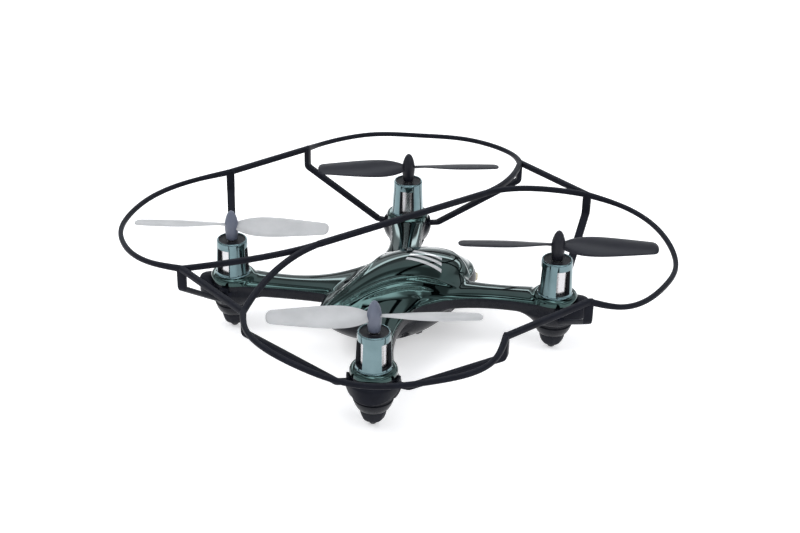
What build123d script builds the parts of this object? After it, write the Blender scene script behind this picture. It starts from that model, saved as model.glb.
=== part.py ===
from build123d import *
import os
from math import atan2, cos, degrees, hypot, radians, sin, sqrt

# Palm-size four-rotor drone, millimetres.
# +Z is up, the nose points along -Y, and the origin is on the ground midway between the four feet.
# The drone's own left is +X.

os.makedirs("parts", exist_ok=True)

# ---------------------------------------------------------------- driving dimensions
motor_pitch = 64.6                    # side of the square on which the four motor axes stand
axis_xy = motor_pitch / 2
parting_z = 15.6                      # plane where the plated upper shell meets the black lower shell
wall = 1.0                            # moulded wall of both shells
fit = 0.1                             # gap between parts that are assembled by hand
running = 0.04                        # radial clearance of a turning shaft

# body: stations along Y as (y, half width, top z, bottom z)
body_stations = [
    (-24.2, 2.0, 15.6, 12.6),
    (-22.4, 4.8, 16.6, 10.4),
    (-18.6, 8.0, 18.2, 7.0),
    (-13.0, 11.0, 20.2, 3.9),
    (-6.0, 13.3, 22.0, 2.3),
    (2.0, 14.2, 23.0, 1.9),
    (10.0, 13.4, 23.2, 2.2),
    (17.0, 11.5, 22.3, 3.6),
    (23.0, 8.8, 20.0, 6.0),
    (26.6, 6.2, 17.4, 8.2),
    (28.2, 3.6, 15.0, 10.2),
]

arm_bottom_z = 12.1
arm_top_z = 16.5
arm_channel_z = arm_bottom_z + 0.9
pod_radius = 6.15
flange_radius = 6.3
pod_floor_z = 5.0

tower_top_z = 27.9
tower_base_z = 17.5
tower_top_radius = 4.3
tower_base_radius = 4.75
window_count = 3
window_width = 3.9
window_z = (18.3, 25.7)

motor_radius = 3.5                    # 7 mm by 16 mm coreless motor
motor_length = 16.0
motor_top_z = 27.1
motor_wall = 0.25
bearing_boss_z = 27.7
shaft_radius = 0.5
shaft_top_z = 34.0
magnet_radius = 2.1
winding_radii = (2.55, 2.95)

propeller_diameter = 55.0
blade_z = 31.9
hub_bottom_z = 27.95
hub_top_z = 36.6
hub_radius = 1.95
hub_shoulder = (1.45, 34.9)           # point of the spinner's outline between the blades and its tip
hub_tip_radius = 0.4
# blade stations from the hub outwards as (radius, chord, pitch in degrees, thickness)
blade_stations = [
    (1.2, 2.4, 30.0, 0.9),
    (4.5, 5.4, 25.0, 0.75),
    (9.5, 7.6, 18.5, 0.65),
    (14.5, 7.9, 14.5, 0.6),
    (20.0, 7.1, 12.0, 0.55),
    (25.0, 5.7, 10.5, 0.45),
    (propeller_diameter / 2, 4.6, 10.0, 0.4),
]
blade_edge = 0.2                      # thickness of the blade's two edges
blade_camber = 0.06                   # sagitta of the blade's lower face, as a share of its chord

# the guard's ring on the left side, lobe by lobe, from the side junction round to the end junction
nose_lobe = [
    (60.8, -13.6, 32.9),
    (65.1, -20.9, 31.3),
    (63.1, -40.4, 31.1),
    (54.6, -53.8, 31.0),
    (41.2, -62.3, 32.8),
    (21.8, -64.3, 34.7),
    (14.4, -60.0, 34.8),
]
tail_lobe = [
    (60.8, 15.2, 32.9),
    (65.1, 22.6, 30.7),
    (63.1, 42.0, 29.9),
    (54.6, 55.4, 29.0),
    (41.2, 63.9, 30.0),
    (21.8, 65.9, 30.9),
    (14.4, 61.6, 32.2),
]
lobe_wire = 1.4
straight_wire = 1.8
fork_wire = 1.6
bar_wire = 1.7
bar_ends = ((-25.1, 37.3), (33.9, 35.1))  # nose and tail ends of the centre bar as (y, z)
fork_power = 1.78                     # how late the forks turn away from the middle
leg_drop = 5.9                        # from a junction down to the leg's corner
leg_foot_z = 13.1
leg_width = 2.3
leg_depth = 1.5
clip_z = (11.4, 14.1)
clip_radii = (pod_radius + fit, 7.1)
clip_half_angle = 98.0                # the clip reaches this far each side of the outward direction

foot_top_z = 4.8
foot_stem_radius = 1.6

board_size = (17.0, 27.0, 0.8)
board_centre_y = 3.0
board_z = 7.4
battery_size = (15.0, 24.0, 7.5)
battery_centre_y = 3.0
battery_z = 10.2
socket_size = (4.4, 5.2, 2.4)
socket_centre = (0.0, 28.2, 9.7)
switch_centre = (7.2, 4.0)
switch_travel = 1.6

screw_places = [(-10.6, -4.0), (10.6, -4.0), (-10.4, 13.2), (10.4, 13.2)]
screw_boss_radius = 1.7
screw_radius = 0.6
screw_head_radius = 1.1
screw_seat_z = 11.0
screw_top_z = 17.4
board_screw_places = [(-6.5, 13.0), (6.5, -7.0)]
board_screw_radius = 0.5
knob_size = (1.4, 2.0, 3.6)
switch_height = 1.3
lead_radius = 0.28
lead_slot_s = 41.6                    # distance of the leads' upright run from the centre, along an arm
lead_inner_s = 14.0                   # here the leads leave the arm and run down to the circuit board
lead_channel_z = 14.3

# worked out from the sizes above
motor_bore = motor_radius + 0.06
board_top_z = board_z + board_size[2]
clip_middle = sum(clip_radii) / 2

# each motor by name: signs of its X and Y, rest angle of its blades, and +1 for anticlockwise from above
motors = {
    "front_left": (1, -1, 52.8, -1),
    "front_right": (-1, -1, 48.3, 1),
    "rear_left": (1, 1, 49.5, 1),
    "rear_right": (-1, 1, 54.6, -1),
}
corner_signs = [(1, 1), (-1, 1), (-1, -1), (1, -1)]


def along_arm(s, off):
    """Point of the +X +Y quarter: s along the diagonal from the centre, off towards the waist (+X side)."""
    return ((s + off) / sqrt(2), (s - off) / sqrt(2))


def export(piece, name):
    piece.part.label = name
    export_step(piece.part, f"parts/{name}.step")


# ---------------------------------------------------------------- body and arms, as solid forms
def body_sections(inset):
    """Ellipses across the body, each inset by a wall thickness."""
    sections = []
    for y, half_width, top, bottom in body_stations:
        with BuildSketch(Plane.XZ.offset(-y)) as section:
            with Locations((0, (top + bottom) / 2)):
                Ellipse(half_width - inset, (top - bottom) / 2 - inset)
        sections.append(section.sketch)
    return sections


def arm_outline(inset):
    """Plan of one arm: the waist side is slender, the other side runs out to the body's end."""
    with BuildSketch(Plane.XY.offset(arm_bottom_z + inset)) as outline:
        with BuildLine():
            waist = Spline(
                along_arm(9, 9.0 - inset),
                along_arm(17, 5.4 - inset),
                along_arm(25, 3.8 - inset),
                along_arm(34, 3.9 - inset),
                along_arm(42, 5.4 - inset),
            )
            outer = Spline(
                along_arm(9, -9.5 + inset),
                along_arm(18, -7.0 + inset),
                along_arm(26, -6.0 + inset),
                along_arm(35, -5.7 + inset),
                along_arm(42, -5.6 + inset),
            )
            Line(waist @ 1, outer @ 1)
            Line(outer @ 0, waist @ 0)
        make_face()
    return outline.sketch


def four_corners(quarter):
    """The +X +Y quarter's shape and its three mirror images."""
    half = [quarter, quarter.mirror(Plane.YZ)]
    return half + [shape.mirror(Plane.XZ) for shape in half]


with BuildPart() as arm_form:
    extrude(arm_outline(0), amount=arm_top_z - arm_bottom_z)
    fillet(arm_form.edges().group_by(Axis.Z)[0].filter_by(GeomType.BSPLINE), radius=1.2)
    fillet(arm_form.edges().group_by(Axis.Z)[-1].filter_by(GeomType.BSPLINE), radius=0.6)

with BuildPart() as arm_channel:
    extrude(arm_outline(wall), amount=arm_top_z - arm_bottom_z - 2 * wall)

with BuildPart() as pod_form:
    with BuildSketch(Plane.XZ):
        with BuildLine():
            Polyline(
                (0, pod_floor_z),
                (3.9, pod_floor_z),
                (4.5, 5.6),
                (5.0, 6.6),
                (5.45, 8.1),
                (5.2, 8.3),
                (5.2, 9.2),
                (5.9, 9.5),
                (pod_radius, 10.6),
                (pod_radius, 16.1),
                (flange_radius, 16.3),
                (tower_base_radius + 0.4, tower_base_z),
                (0, tower_base_z),
                close=True,
            )
        make_face()
    revolve(axis=Axis.Z)

with BuildPart() as body_form:
    loft(body_sections(0))
    add(four_corners(arm_form.part))
    with GridLocations(motor_pitch, motor_pitch, 2, 2):
        add(pod_form.part)

with BuildPart() as body_cavity:
    loft(body_sections(wall))
    add(four_corners(arm_channel.part))
    with BuildSketch(Plane.XY.offset(pod_floor_z + wall)):
        with GridLocations(motor_pitch, motor_pitch, 2, 2):
            Circle(pod_radius - 2.1)
    extrude(amount=parting_z - pod_floor_z - wall)



# ---------------------------------------------------------------- shells
with BuildPart() as tower_form:
    with BuildSketch(Plane.XZ):
        with BuildLine():
            Polyline(
                (motor_bore, parting_z),
                (flange_radius - 0.4, parting_z),
                (tower_base_radius + 0.3, tower_base_z - 0.2),
                (tower_base_radius, tower_base_z + 0.3),
                (tower_top_radius, tower_top_z),
                (motor_bore, tower_top_z),
                close=True,
            )
        make_face()
    revolve(axis=Axis.Z)
    window_height = window_z[1] - window_z[0]
    with BuildSketch(Plane.XY.offset(window_z[0])):
        with PolarLocations(tower_base_radius, window_count, start_angle=225):
            Rectangle(2 * (tower_base_radius - 2.5), window_width)
    extrude(amount=window_height, mode=Mode.SUBTRACT)

with BuildPart() as screw_columns:
    with BuildSketch():
        with Locations(*screw_places):
            Circle(screw_boss_radius)
    extrude(amount=tower_top_z)
    add(body_form.part, mode=Mode.INTERSECT)

with BuildPart() as upper_shell:
    add(body_form.part)
    add(body_cavity.part, mode=Mode.SUBTRACT)
    add(screw_columns.part)
    with BuildSketch(Plane.XY.offset(pod_floor_z)):
        with GridLocations(motor_pitch, motor_pitch, 2, 2):
            Circle(motor_bore)
    extrude(amount=tower_top_z - pod_floor_z, mode=Mode.SUBTRACT)
    add(four_corners(tower_form.part.moved(Location((axis_xy, axis_xy, 0)))))
    split(bisect_by=Plane.XY.offset(parting_z), keep=Keep.TOP)
    with BuildSketch(Plane.XY.offset(parting_z)):
        with Locations(*screw_places):
            Circle(screw_radius + 0.02)
    extrude(amount=screw_top_z + 0.4 - parting_z, mode=Mode.SUBTRACT)

with BuildPart() as board_posts:
    with BuildSketch():
        with Locations((0, board_centre_y)):
            with GridLocations(board_size[0] - 4, board_size[1] - 7, 2, 2):
                Circle(1.3)
    extrude(amount=board_z)
    add(body_cavity.part, mode=Mode.INTERSECT)

with BuildPart() as lower_shell:
    add(body_form.part)
    add(body_cavity.part, mode=Mode.SUBTRACT)
    add(screw_columns.part)
    add(board_posts.part)
    split(bisect_by=Plane.XY.offset(parting_z), keep=Keep.BOTTOM)
    # holes for the feet's stems
    with BuildSketch():
        with GridLocations(motor_pitch, motor_pitch, 2, 2):
            Circle(foot_stem_radius + 0.02)
    extrude(amount=pod_floor_z + wall, mode=Mode.SUBTRACT)
    # passage for the motor leads between each pod and its arm
    with BuildSketch(Plane.XY.offset(pod_floor_z + wall)):
        for sign_x, sign_y in corner_signs:
            x, y = along_arm(lead_slot_s, 1.1)
            with Locations(Location((sign_x * x, sign_y * y, 0), sign_x * sign_y * 45)):
                Rectangle(1.8, 2.6)
    extrude(amount=parting_z - pod_floor_z - wall, mode=Mode.SUBTRACT)
    # screws enter from below, through deep recesses
    with BuildSketch():
        with Locations(*screw_places):
            Circle(screw_head_radius + 0.15)
    extrude(amount=screw_seat_z, mode=Mode.SUBTRACT)
    with BuildSketch(Plane.XY.offset(screw_seat_z)):
        with Locations(*screw_places):
            Circle(screw_radius + 0.15)
    extrude(amount=parting_z - screw_seat_z, mode=Mode.SUBTRACT)
    # screws of the circuit board
    with BuildSketch(Plane.XY.offset(board_z - 2.0)):
        with Locations(*board_screw_places):
            Circle(board_screw_radius + 0.02)
    extrude(amount=2.0, mode=Mode.SUBTRACT)
    # slot for the switch knob, and the opening at the tail for the charging socket
    with BuildSketch():
        with Locations((switch_centre[0], switch_centre[1] + switch_travel / 2)):
            Rectangle(knob_size[0] + 0.5, knob_size[1] + switch_travel + 0.6)
    extrude(amount=board_z, mode=Mode.SUBTRACT)
    with Locations(socket_centre):
        Box(socket_size[0] + 2 * fit, socket_size[1] + 3, socket_size[2] + 2 * fit, mode=Mode.SUBTRACT)

export(upper_shell, "upper_shell")
export(lower_shell, "lower_shell")

# ---------------------------------------------------------------- guard, one moulded wire frame
def wire(line, width):
    """Round wire of the given width along one line, added to the guard."""
    with BuildSketch(Plane(line @ 0, z_dir=line % 0)) as section:
        Circle(width / 2)
    sweep(section.sketch, path=line)


with BuildPart() as guard:
    # ring: four round lobes joined by four short straights
    for sign in (1, -1):
        for lobe in (nose_lobe, tail_lobe):
            with BuildLine() as path:
                Spline(*[(sign * x, y, z) for x, y, z in lobe])
            wire(path.line, lobe_wire)
        with BuildLine() as path:
            Line((sign * nose_lobe[0][0], *nose_lobe[0][1:]), (sign * tail_lobe[0][0], *tail_lobe[0][1:]))
        wire(path.line, straight_wire)
    for x, y, z in (nose_lobe[-1], tail_lobe[-1]):
        with BuildLine() as path:
            Line((-x, y, z), (x, y, z))
        wire(path.line, straight_wire)
    # raised bar over the body
    (bar_nose_y, bar_nose_z), (bar_tail_y, bar_tail_z) = bar_ends
    bar_slope = atan2(bar_nose_z - bar_tail_z, bar_tail_y - bar_nose_y)
    bar_plane = Plane(
        origin=(0, (bar_nose_y + bar_tail_y) / 2, (bar_nose_z + bar_tail_z) / 2),
        x_dir=(1, 0, 0),
        z_dir=(0, sin(bar_slope), cos(bar_slope)),
    )
    with BuildSketch(bar_plane.offset(-bar_wire / 2)):
        Rectangle(bar_wire, hypot(bar_tail_y - bar_nose_y, bar_nose_z - bar_tail_z) + 1)
    extrude(amount=bar_wire)
    # two forks, which run down from the bar's ends to the ring
    for (start_y, start_z), (joint_x, joint_y, joint_z) in zip(bar_ends, (nose_lobe[-1], tail_lobe[-1])):
        outward = Vector(0, joint_y - start_y, joint_z - start_z)
        length = outward.length
        fork_plane = Plane(
            origin=(0, start_y, start_z),
            x_dir=(1, 0, 0),
            z_dir=Vector(1, 0, 0).cross(outward) * (1 if joint_y > 0 else -1),
        )
        forward = 1 if joint_y > 0 else -1
        with BuildSketch(fork_plane.offset(-fork_wire / 2)):
            for side in (1, -1):
                shares = [k / 6 for k in range(7)]
                with BuildLine():
                    Spline(
                        *[(side * joint_x * t**fork_power, forward * length * t) for t in shares],
                        tangents=[(0, forward), (side * fork_power * joint_x, forward * length)],
                    )
                trace(line_width=fork_wire)
        extrude(amount=fork_wire)
    # legs: down from each junction, then inwards to the clip on the motor pod
    for sign_x, sign_y in corner_signs:
        pod = Vector(sign_x * axis_xy, sign_y * axis_xy)
        lobe = nose_lobe if sign_y < 0 else tail_lobe
        for joint_x, joint_y, joint_z in (lobe[0], lobe[-1]):
            outward = Vector(sign_x * joint_x, joint_y) - pod
            reach = outward.length
            leg_plane = Plane(pod, x_dir=outward, z_dir=outward.cross(Vector(0, 0, 1)))
            with BuildSketch(leg_plane):
                with BuildLine():
                    FilletPolyline(
                        (clip_middle, leg_foot_z),
                        (clip_middle + 2.6, leg_foot_z),
                        (reach, joint_z - leg_drop),
                        (reach, joint_z + 0.5),
                        radius=1.2,
                    )
                trace(line_width=leg_depth)
            extrude(amount=leg_width / 2, both=True)
    # clips round the outer side of each pod
    with BuildSketch(Plane.XY.offset(clip_z[0])):
        for sign_x, sign_y in corner_signs:
            facing = degrees(atan2(sign_y, sign_x))
            with BuildLine():
                CenterArc((sign_x * axis_xy, sign_y * axis_xy), clip_middle,
                          facing - clip_half_angle, 2 * clip_half_angle)
            trace(line_width=clip_radii[1] - clip_radii[0])
    extrude(amount=clip_z[1] - clip_z[0])
export(guard, "guard")

# ---------------------------------------------------------------- motors, shafts, feet and propellers
def revolved(points):
    """Solid of revolution about Z from a closed outline of (radius, z) points."""
    with BuildPart() as turned:
        with BuildSketch(Plane.XZ):
            with BuildLine():
                Polyline(*points, close=True)
            make_face()
        revolve(axis=Axis.Z)
    return turned


def blade(spin):
    """One blade along +X; spin is +1 for a propeller that turns anticlockwise from above."""
    sections = []
    for radius, chord, pitch, thickness in blade_stations:
        section_plane = Plane(
            (radius, 0, blade_z),
            x_dir=(0, spin * cos(radians(pitch)), sin(radians(pitch))),
            z_dir=(1, 0, 0),
        )
        camber = blade_camber * chord * spin
        edge = blade_edge * spin
        with BuildSketch(section_plane) as section:
            with BuildLine():
                under = ThreePointArc((-chord / 2, 0), (0, camber), (chord / 2, 0))
                over = ThreePointArc((-chord / 2, edge), (0, camber + thickness * spin), (chord / 2, edge))
                Line(under @ 0, over @ 0)
                Line(under @ 1, over @ 1)
            make_face()
        sections.append(section.sketch)
    return sections


def propeller(spin, rest_angle):
    """Spinner and two blades, bored for the motor shaft."""
    with BuildPart() as rotor:
        loft(blade(spin))
        add(rotor.part.rotate(Axis.Z, 180))
        with BuildSketch(Plane.XZ):
            with BuildLine():
                ThreePointArc((hub_radius, blade_z), hub_shoulder, (hub_tip_radius, hub_top_z))
                Polyline(
                    (hub_tip_radius, hub_top_z),
                    (0, hub_top_z),
                    (0, hub_bottom_z),
                    (hub_radius - 0.25, hub_bottom_z),
                    (hub_radius, blade_z),
                )
            make_face()
        revolve(axis=Axis.Z)
        with BuildSketch(Plane.XY.offset(hub_bottom_z)):
            Circle(shaft_radius)
        extrude(amount=shaft_top_z - hub_bottom_z, mode=Mode.SUBTRACT)
    return rotor.part.rotate(Axis.Z, rest_angle)


can_bottom_z = motor_top_z - motor_length
can_inner = motor_radius - motor_wall
hole = shaft_radius + running
cap_bottom_z = can_bottom_z - 0.5
winding_inner, winding_outer = winding_radii

motor_pieces = {
    "motor_can": revolved([
        (motor_radius, can_bottom_z),
        (motor_radius, motor_top_z),
        (1.2, motor_top_z),
        (1.2, bearing_boss_z),
        (hole, bearing_boss_z),
        (hole, motor_top_z - motor_wall),
        (can_inner, motor_top_z - motor_wall),
        (can_inner, can_bottom_z),
    ]),
    "motor_magnet": revolved([
        (shaft_radius + 0.25, can_bottom_z + 2.6),
        (magnet_radius, can_bottom_z + 2.6),
        (magnet_radius, motor_top_z - motor_wall),
        (shaft_radius + 0.25, motor_top_z - motor_wall),
    ]),
    "motor_winding": revolved([
        (shaft_radius, can_bottom_z + 1.4),
        (winding_outer, can_bottom_z + 1.4),
        (winding_outer, motor_top_z - 1.0),
        (winding_inner, motor_top_z - 1.0),
        (winding_inner, can_bottom_z + 2.0),
        (shaft_radius, can_bottom_z + 2.0),
    ]),
    "motor_end_cap": revolved([
        (hole, cap_bottom_z),
        (motor_radius, cap_bottom_z),
        (motor_radius, can_bottom_z),
        (can_inner, can_bottom_z),
        (can_inner, can_bottom_z + 1.0),
        (hole, can_bottom_z + 1.0),
    ]),
    "motor_shaft": revolved([
        (0, cap_bottom_z + 0.2),
        (shaft_radius, cap_bottom_z + 0.2),
        (shaft_radius, shaft_top_z),
        (0, shaft_top_z),
    ]),
    "foot": revolved([
        (0, 0),
        (0.8, 0),
        (1.5, 0.9),
        (2.5, 1.6),
        (3.0, 2.3),
        (3.3, 3.1),
        (3.55, 4.2),
        (3.8, foot_top_z),
        (3.8, pod_floor_z),
        (foot_stem_radius, pod_floor_z),
        (foot_stem_radius, pod_floor_z + wall),
        (foot_stem_radius + 0.3, pod_floor_z + wall),
        (foot_stem_radius - 0.2, pod_floor_z + wall + 0.7),
        (0, pod_floor_z + wall + 0.7),
    ]),
}

for name, (sign_x, sign_y, rest_angle, spin) in motors.items():
    place = Location((sign_x * axis_xy, sign_y * axis_xy, 0))
    for piece, solid in motor_pieces.items():
        with BuildPart() as placed:
            add(solid.part.moved(place))
        export(placed, f"{name}_{piece}")
    with BuildPart() as placed:
        add(propeller(spin, rest_angle).moved(place))
    export(placed, f"{name}_propeller")

# ---------------------------------------------------------------- leads
def leads(routes, radius, corner):
    """Round wires along straight runs with rounded corners."""
    with BuildPart() as bundle:
        for route in routes:
            with BuildLine() as path:
                FilletPolyline(*route, radius=corner)
            start = Plane(path.line @ 0, z_dir=path.line % 0)
            with BuildSketch(start):
                Circle(radius)
            sweep(path=path.line)
    return bundle


for name, (sign_x, sign_y, _, _) in motors.items():
    routes = []
    for off, land_y in ((1.6, 6.4), (0.6, 7.6)):
        points = [
            (*along_arm(lead_slot_s + 3.0, off), cap_bottom_z),
            (*along_arm(lead_slot_s + 3.0, off), cap_bottom_z - 1.2),
            (*along_arm(lead_slot_s, off), cap_bottom_z - 1.2),
            (*along_arm(lead_slot_s, off), lead_channel_z),
            (*along_arm(lead_inner_s, off), lead_channel_z),
            (board_size[0] / 2 - 0.45, land_y, board_top_z + 1.6),
            (board_size[0] / 2 - 0.45, land_y, board_top_z),
        ]
        routes.append([(sign_x * x, sign_y * y, z) for x, y, z in points])
    export(leads(routes, lead_radius, 0.45), f"{name}_motor_leads")

battery_front_y = battery_centre_y - battery_size[1] / 2
battery_routes = [
    [(x, battery_front_y, 12.5), (x, battery_front_y - 1.0, 12.5), (x, battery_front_y - 1.0, board_top_z)]
    for x in (-2.0, 2.0)
]
export(leads(battery_routes, lead_radius, 0.6), "battery_leads")

socket_front_y = socket_centre[1] - socket_size[1] / 2
charge_routes = [
    [(x, socket_front_y, board_top_z + 1.4), (x, 15.8, board_top_z + 1.4), (x, 15.8, board_top_z)]
    for x in (-1.0, 1.0)
]
export(leads(charge_routes, lead_radius, 0.8), "charge_leads")

# ---------------------------------------------------------------- electronics
with BuildPart() as circuit_board:
    with BuildSketch(Plane.XY.offset(board_z)):
        with Locations((0, board_centre_y)):
            RectangleRounded(board_size[0], board_size[1], 1.5)
        with Locations(*board_screw_places):
            Circle(board_screw_radius + 0.05, mode=Mode.SUBTRACT)
    extrude(amount=board_size[2])
export(circuit_board, "circuit_board")

chip_height = 0.9
chips = [
    (-3.2, -2.5, 5.0, 5.0),
    (3.6, -3.0, 3.0, 3.0),
    (0.0, 5.0, 4.0, 4.0),
    (-4.8, 8.5, 2.4, 3.4),
    (4.6, 9.5, 2.0, 2.0),
]
with BuildPart() as board_chips:
    with BuildSketch(Plane.XY.offset(board_top_z)):
        for x, y, width, depth in chips:
            with Locations((x, y)):
                Rectangle(width, depth)
    extrude(amount=chip_height)
export(board_chips, "board_chips")

with BuildPart() as foam_pad:
    with BuildSketch(Plane.XY.offset(board_top_z + chip_height)):
        with Locations((0, battery_centre_y)):
            Rectangle(battery_size[0] - 2, battery_size[1] - 2)
    extrude(amount=battery_z - board_top_z - chip_height)
export(foam_pad, "battery_foam_pad")

with BuildPart() as battery:
    with BuildSketch(Plane.XY.offset(battery_z)):
        with Locations((0, battery_centre_y)):
            RectangleRounded(battery_size[0], battery_size[1], 1.0)
    extrude(amount=battery_size[2])
    fillet(battery.edges().group_by(Axis.Z)[-1], radius=0.6)
export(battery, "battery")

with BuildPart() as charge_socket:
    with Locations(socket_centre):
        Box(*socket_size)
    chamfer(charge_socket.edges().filter_by(Axis.Y), length=0.2)
    with BuildSketch(Plane.XZ.offset(-(socket_centre[1] + socket_size[1] / 2))):
        with Locations((0, socket_centre[2])):
            with GridLocations(2.0, 1, 2, 1):
                Rectangle(1.3, 1.5)
    extrude(amount=3.6, mode=Mode.SUBTRACT)
export(charge_socket, "charge_socket")

with BuildPart() as charge_pins:
    with Locations((0, socket_centre[1] + socket_size[1] / 2 - 2.2, socket_centre[2])):
        with GridLocations(2.0, 1, 2, 1):
            Box(0.5, 2.8, 0.5)
export(charge_pins, "charge_pins")

with BuildPart() as switch_body:
    with Locations((switch_centre[0], switch_centre[1] + switch_travel / 2, board_z)):
        Box(2.4, 6.0, switch_height, align=(Align.CENTER, Align.CENTER, Align.MAX))
        with Locations((0, 0, -switch_height)):
            Box(knob_size[0] - 0.2, knob_size[1] + switch_travel + 0.2, 1.0,
                align=(Align.CENTER, Align.CENTER, Align.MIN), mode=Mode.SUBTRACT)
export(switch_body, "switch_body")

with BuildPart() as switch_knob:
    with Locations((*switch_centre, board_z - switch_height)):
        Box(knob_size[0], knob_size[1], knob_size[2], align=(Align.CENTER, Align.CENTER, Align.MAX))
        Box(knob_size[0] - 0.4, knob_size[1], 0.8, align=(Align.CENTER, Align.CENTER, Align.MIN))
    fillet(switch_knob.edges().group_by(Axis.Z)[0], radius=0.25)
export(switch_knob, "switch_knob")


def screws(places, seat_z, top_z, head, shank):
    """Cross-head screws entering upwards; head is (radius, height)."""
    with BuildPart() as group:
        with BuildSketch(Plane.XY.offset(seat_z - head[1])):
            with Locations(*places):
                Circle(head[0])
        extrude(amount=head[1])
        with BuildSketch(Plane.XY.offset(seat_z)):
            with Locations(*places):
                Circle(shank)
        extrude(amount=top_z - seat_z)
        with BuildSketch(Plane.XY.offset(seat_z - head[1])):
            with Locations(*places):
                Rectangle(head[0] * 1.2, head[0] * 0.3)
                Rectangle(head[0] * 0.3, head[0] * 1.2)
        extrude(amount=head[1] * 0.6, mode=Mode.SUBTRACT)
    return group


shell_screws = screws(screw_places, screw_seat_z, screw_top_z, (screw_head_radius, 0.9), screw_radius)
export(shell_screws, "shell_screws")

with BuildPart() as board_screws:
    with BuildSketch(Plane.XY.offset(board_top_z)):
        with Locations(*board_screw_places):
            Circle(1.0)
    extrude(amount=0.6)
    with BuildSketch(Plane.XY.offset(board_top_z)):
        with Locations(*board_screw_places):
            Circle(board_screw_radius)
    extrude(amount=-2.6)
export(board_screws, "board_screws")
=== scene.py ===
"""Looks of the mini palm drone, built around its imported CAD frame.

Shapes are worked out in millimetres in the row frame and turned into metres when they become meshes.
The two shells are level sets of smooth fields, so that their mirror finish has no facets.
"""
import math

import bmesh
import bpy
import numpy as np
from mathutils import Matrix, Vector


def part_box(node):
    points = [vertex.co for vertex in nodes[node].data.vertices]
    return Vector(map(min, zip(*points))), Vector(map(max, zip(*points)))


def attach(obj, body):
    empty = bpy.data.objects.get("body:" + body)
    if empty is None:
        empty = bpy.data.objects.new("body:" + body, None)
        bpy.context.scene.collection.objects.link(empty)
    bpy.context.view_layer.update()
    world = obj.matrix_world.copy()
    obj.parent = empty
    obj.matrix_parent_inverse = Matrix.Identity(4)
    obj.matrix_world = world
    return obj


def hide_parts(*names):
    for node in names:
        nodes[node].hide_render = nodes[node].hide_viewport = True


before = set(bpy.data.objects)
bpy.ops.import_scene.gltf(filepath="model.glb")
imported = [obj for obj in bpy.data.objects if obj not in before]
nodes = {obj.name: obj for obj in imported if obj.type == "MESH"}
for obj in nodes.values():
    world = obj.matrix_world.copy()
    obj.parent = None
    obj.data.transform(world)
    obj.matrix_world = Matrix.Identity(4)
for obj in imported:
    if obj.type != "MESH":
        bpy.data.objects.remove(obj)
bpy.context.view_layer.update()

MM = 0.001
CORNERS = {"front_left": (1, -1), "front_right": (-1, -1), "rear_left": (1, 1), "rear_right": (-1, 1)}


def box_mm(node):
    """A CAD node's lowest and highest corner in millimetres."""
    low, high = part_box(node)
    return np.array(low) / MM, np.array(high) / MM


can_low, can_high = box_mm("rear_left_motor_can")
MOTOR_XY = float((can_low[0] + can_high[0]) / 2)      # motor axes stand at (+-MOTOR_XY, +-MOTOR_XY)
PARTING_Z = float(box_mm("upper_shell")[0][2])


# ---------------------------------------------------------------- materials
def node(tree, kind, links=(), **settings):
    """Adds a node, sets its properties or sockets, and links (socket, source output) pairs into it."""
    made = tree.nodes.new(kind)
    for key, value in settings.items():
        if hasattr(made, key):
            setattr(made, key, value)
        else:
            made.inputs[key.replace("_", " ")].default_value = value
    for socket, source in links:
        tree.links.new(source, made.inputs[socket])
    return made


RAMP_ENDS = (0.3, 0.7)                # noise levels at which a finish reaches its dark and its light colour
GLOSS_ENDS = (0.7, 1.3)               # sums of slow and fine noise between which its roughness changes
MOTTLE_PER_GRAIN = 12                 # size of the slow variation where a finish names none


def finish(name, dark, light, rough, grain, bump, mottle=None, stretch=(1, 1, 1), **fixed):
    """Moulded, plated or drawn finish: uneven colour, uneven gloss and a fine surface grain.

    dark and light are the two ends of the colour, rough the two ends of the roughness, grain the size of
    the fine texture in millimetres and bump its height in micrometres, mottle the size of the slow
    variation, and stretch the shrinking of both along X, Y and Z.
    """
    material = bpy.data.materials.new(name)
    material.use_nodes = True
    tree = material.node_tree
    shader = tree.nodes["Principled BSDF"]
    place = node(tree, "ShaderNodeTexCoord")
    spread = node(tree, "ShaderNodeMapping", [("Vector", place.outputs["Object"])], Scale=stretch)
    slow = node(tree, "ShaderNodeTexNoise", [("Vector", spread.outputs[0])],
                Scale=1 / ((mottle or MOTTLE_PER_GRAIN * grain) * MM), Detail=3.0, Roughness=0.55)
    fine = node(tree, "ShaderNodeTexNoise", [("Vector", spread.outputs[0])],
                Scale=1 / (grain * MM), Detail=5.0, Roughness=0.6)
    colour = node(tree, "ShaderNodeValToRGB", [("Fac", slow.outputs["Fac"])])
    for element, position, shade in zip(colour.color_ramp.elements, RAMP_ENDS, (dark, light)):
        element.position = position
        element.color = (*shade, 1)
    both = node(tree, "ShaderNodeMath", [(0, slow.outputs["Fac"]), (1, fine.outputs["Fac"])],
                operation="ADD")
    gloss = node(tree, "ShaderNodeMapRange", [("Value", both.outputs[0])])
    for socket, value in zip(("From Min", "From Max", "To Min", "To Max"), (*GLOSS_ENDS, *rough)):
        gloss.inputs[socket].default_value = value
    height = node(tree, "ShaderNodeBump", [("Height", fine.outputs["Fac"])],
                  Strength=1.0, Distance=bump * 1e-6)
    tree.links.new(colour.outputs["Color"], shader.inputs["Base Color"])
    tree.links.new(gloss.outputs["Result"], shader.inputs["Roughness"])
    tree.links.new(height.outputs["Normal"], shader.inputs["Normal"])
    for socket, value in fixed.items():
        shader.inputs[socket.replace("_", " ")].default_value = value
    return material


STRIPE_COLOUR = (0.50, 0.51, 0.52, 1)
STRIPE_SHARE = 0.52                   # a stripe's width as a share of the pitch
STRIPE_TAPER = 0.45                   # how much each stripe is shorter at one end than the last, in mm


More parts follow.
